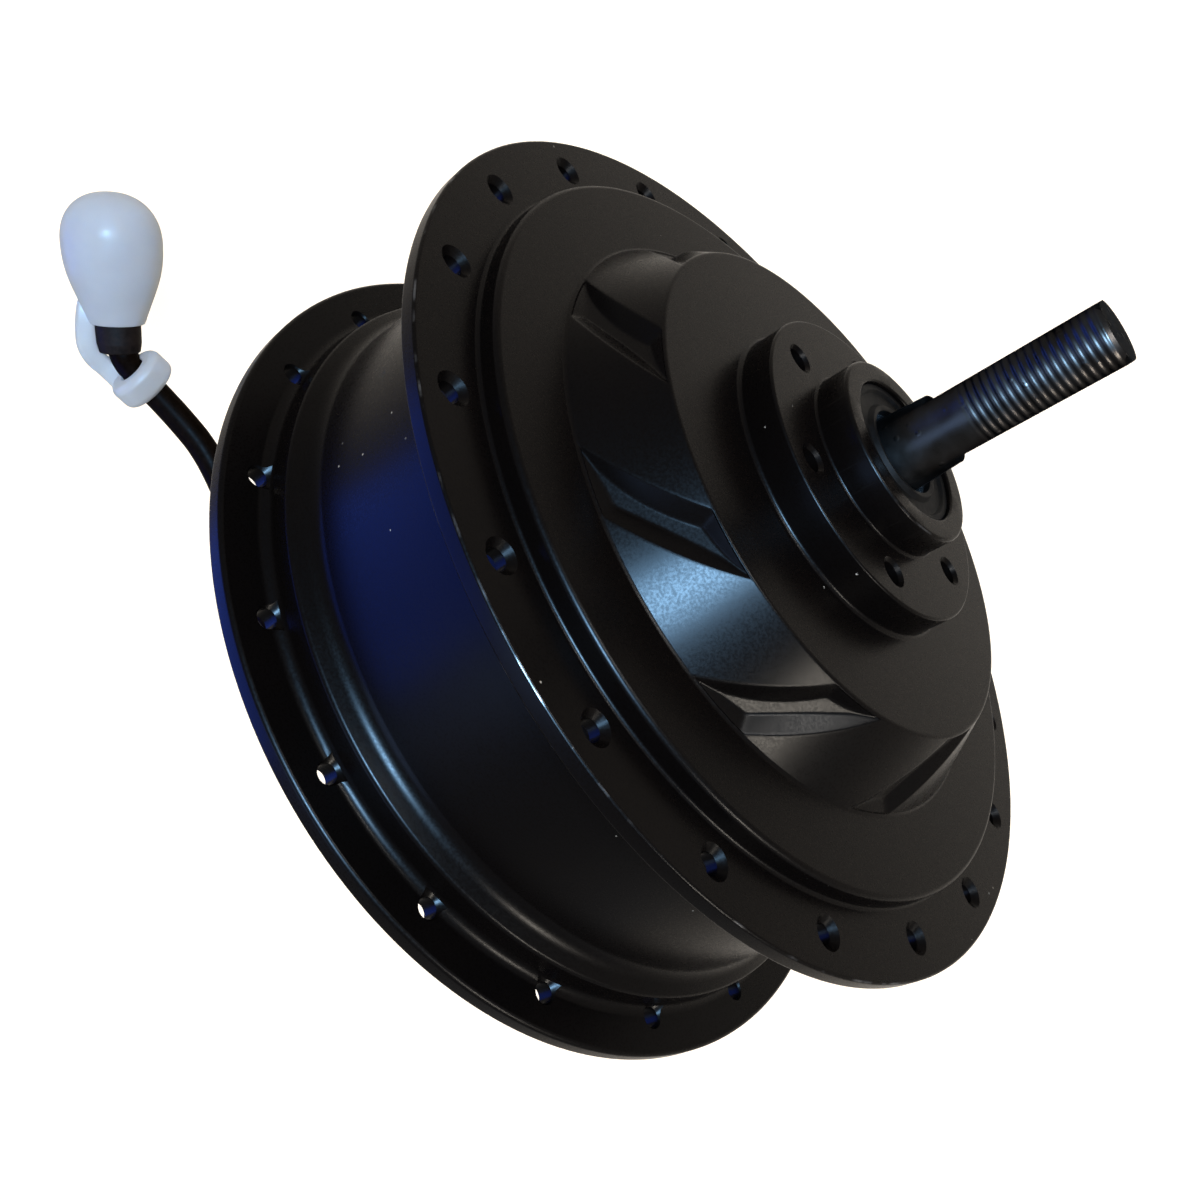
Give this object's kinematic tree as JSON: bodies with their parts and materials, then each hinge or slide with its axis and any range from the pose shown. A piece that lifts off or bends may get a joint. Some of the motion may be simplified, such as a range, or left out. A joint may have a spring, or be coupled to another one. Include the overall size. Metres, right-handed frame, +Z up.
{
  "type": "hub motor",
  "caption": "Geared bicycle hub motor with two spoke flanges, brake disc boss, flatted threaded axle, planetary drive inside and a capped cable.",
  "frame": {"origin": "on the axle's line, midway between its two shoulders, where the fork holds it", "axes": "+Y along the axle towards the brake disc side, +Z up, +X completes the right-handed frame"},
  "size_m": [0.2313, 0.2131, 0.1586],
  "materials": {
    "black_casting": "satin black paint on cast aluminium",
    "axle_steel": "blackened turned steel",
    "bearing_steel": "ground",
    "gear_steel": "cut and oiled",
    "rotor_steel": "rolled",
    "magnet_nickel": "nickel plated",
    "copper_wire": "enamelled",
    "bare_aluminium": "machined",
    "gear_nylon": "moulded nylon",
    "bush_bronze": "sintered",
    "circuit_board": "lacquered",
    "gasket_fibre": "pressed fibre",
    "screw_steel": "blackened",
    "seal_rubber": "moulded",
    "black_rubber": "moulded",
    "cable_jacket": "extruded matte",
    "connector_plastic": "moulded",
    "contact_brass": "plated",
    "clear_silicone": "translucent moulded silicone"
  },
  "bodies": {
    "root": {"axle": "axle_steel", "axle_key": "bearing_steel", "stator_core": "rotor_steel", "stator_coils": "copper_wire", "stator_support": "bare_aluminium", "sensor_board": "circuit_board", "planet_carrier": "gear_steel", "planet_pins": "bearing_steel", "clutch_race": "bearing_steel", "clutch_rollers": "bearing_steel", "near_spacer": "bearing_steel", "far_spacer": "bearing_steel", "near_bearing_inner_race": "bearing_steel", "far_bearing_inner_race": "bearing_steel", "inner_rotor_bearing_inner_race": "bearing_steel", "outer_rotor_bearing_inner_race": "bearing_steel", "cable_grommet": "black_rubber", "motor_cable": "cable_jacket", "connector_boot": "black_rubber", "connector_plug": "connector_plastic", "connector_contacts": "contact_brass", "connector_cap": "clear_silicone", "cap_strap": "clear_silicone"},
    "hub": {"hub_shell": "black_casting", "side_cover": "black_casting", "cover_gasket": "gasket_fibre", "cover_screws": "screw_steel", "ring_gear": "gear_steel", "near_bearing_outer_race": "bearing_steel", "near_bearing_seals": "seal_rubber", "far_bearing_outer_race": "bearing_steel", "far_bearing_seals": "seal_rubber", "near_seal": "seal_rubber", "far_seal": "seal_rubber"},
    "rotor": {"rotor_bell": "rotor_steel", "rotor_magnets": "magnet_nickel", "sun_gear": "gear_steel", "inner_rotor_bearing_outer_race": "bearing_steel", "inner_rotor_bearing_seals": "seal_rubber", "outer_rotor_bearing_outer_race": "bearing_steel", "outer_rotor_bearing_seals": "seal_rubber"},
    "planet_1": {"planet_gear_1": "gear_nylon", "planet_bush_1": "bush_bronze"},
    "planet_2": {"planet_gear_2": "gear_nylon", "planet_bush_2": "bush_bronze"},
    "planet_3": {"planet_gear_3": "gear_nylon", "planet_bush_3": "bush_bronze"}
  },
  "joints": [
    {"name": "hub_spin", "type": "hinge", "parent": "root", "child": "hub", "pos_m": [0, 0, 0], "axis": [0, 1, 0], "continuous": true},
    {"name": "rotor_spin", "type": "hinge", "parent": "root", "child": "rotor", "pos_m": [0, 0, 0], "axis": [0, 1, 0], "continuous": true},
    {"name": "planet_1_spin", "type": "hinge", "parent": "root", "child": "planet_1", "pos_m": [0, 0.007, 0.02925], "axis": [0, 1, 0], "continuous": true},
    {"name": "planet_2_spin", "type": "hinge", "parent": "root", "child": "planet_2", "pos_m": [0.02533, 0.007, -0.01463], "axis": [0, 1, 0], "continuous": true},
    {"name": "planet_3_spin", "type": "hinge", "parent": "root", "child": "planet_3", "pos_m": [-0.02533, 0.007, -0.01463], "axis": [0, 1, 0], "continuous": true}
  ],
  "couplings": [
    {"joint": "rotor_spin", "follows": "hub_spin", "ratio": -4.2},
    {"joint": "planet_1_spin", "follows": "hub_spin", "ratio": 2.625},
    {"joint": "planet_2_spin", "follows": "hub_spin", "ratio": 2.625},
    {"joint": "planet_3_spin", "follows": "hub_spin", "ratio": 2.625}
  ]
}
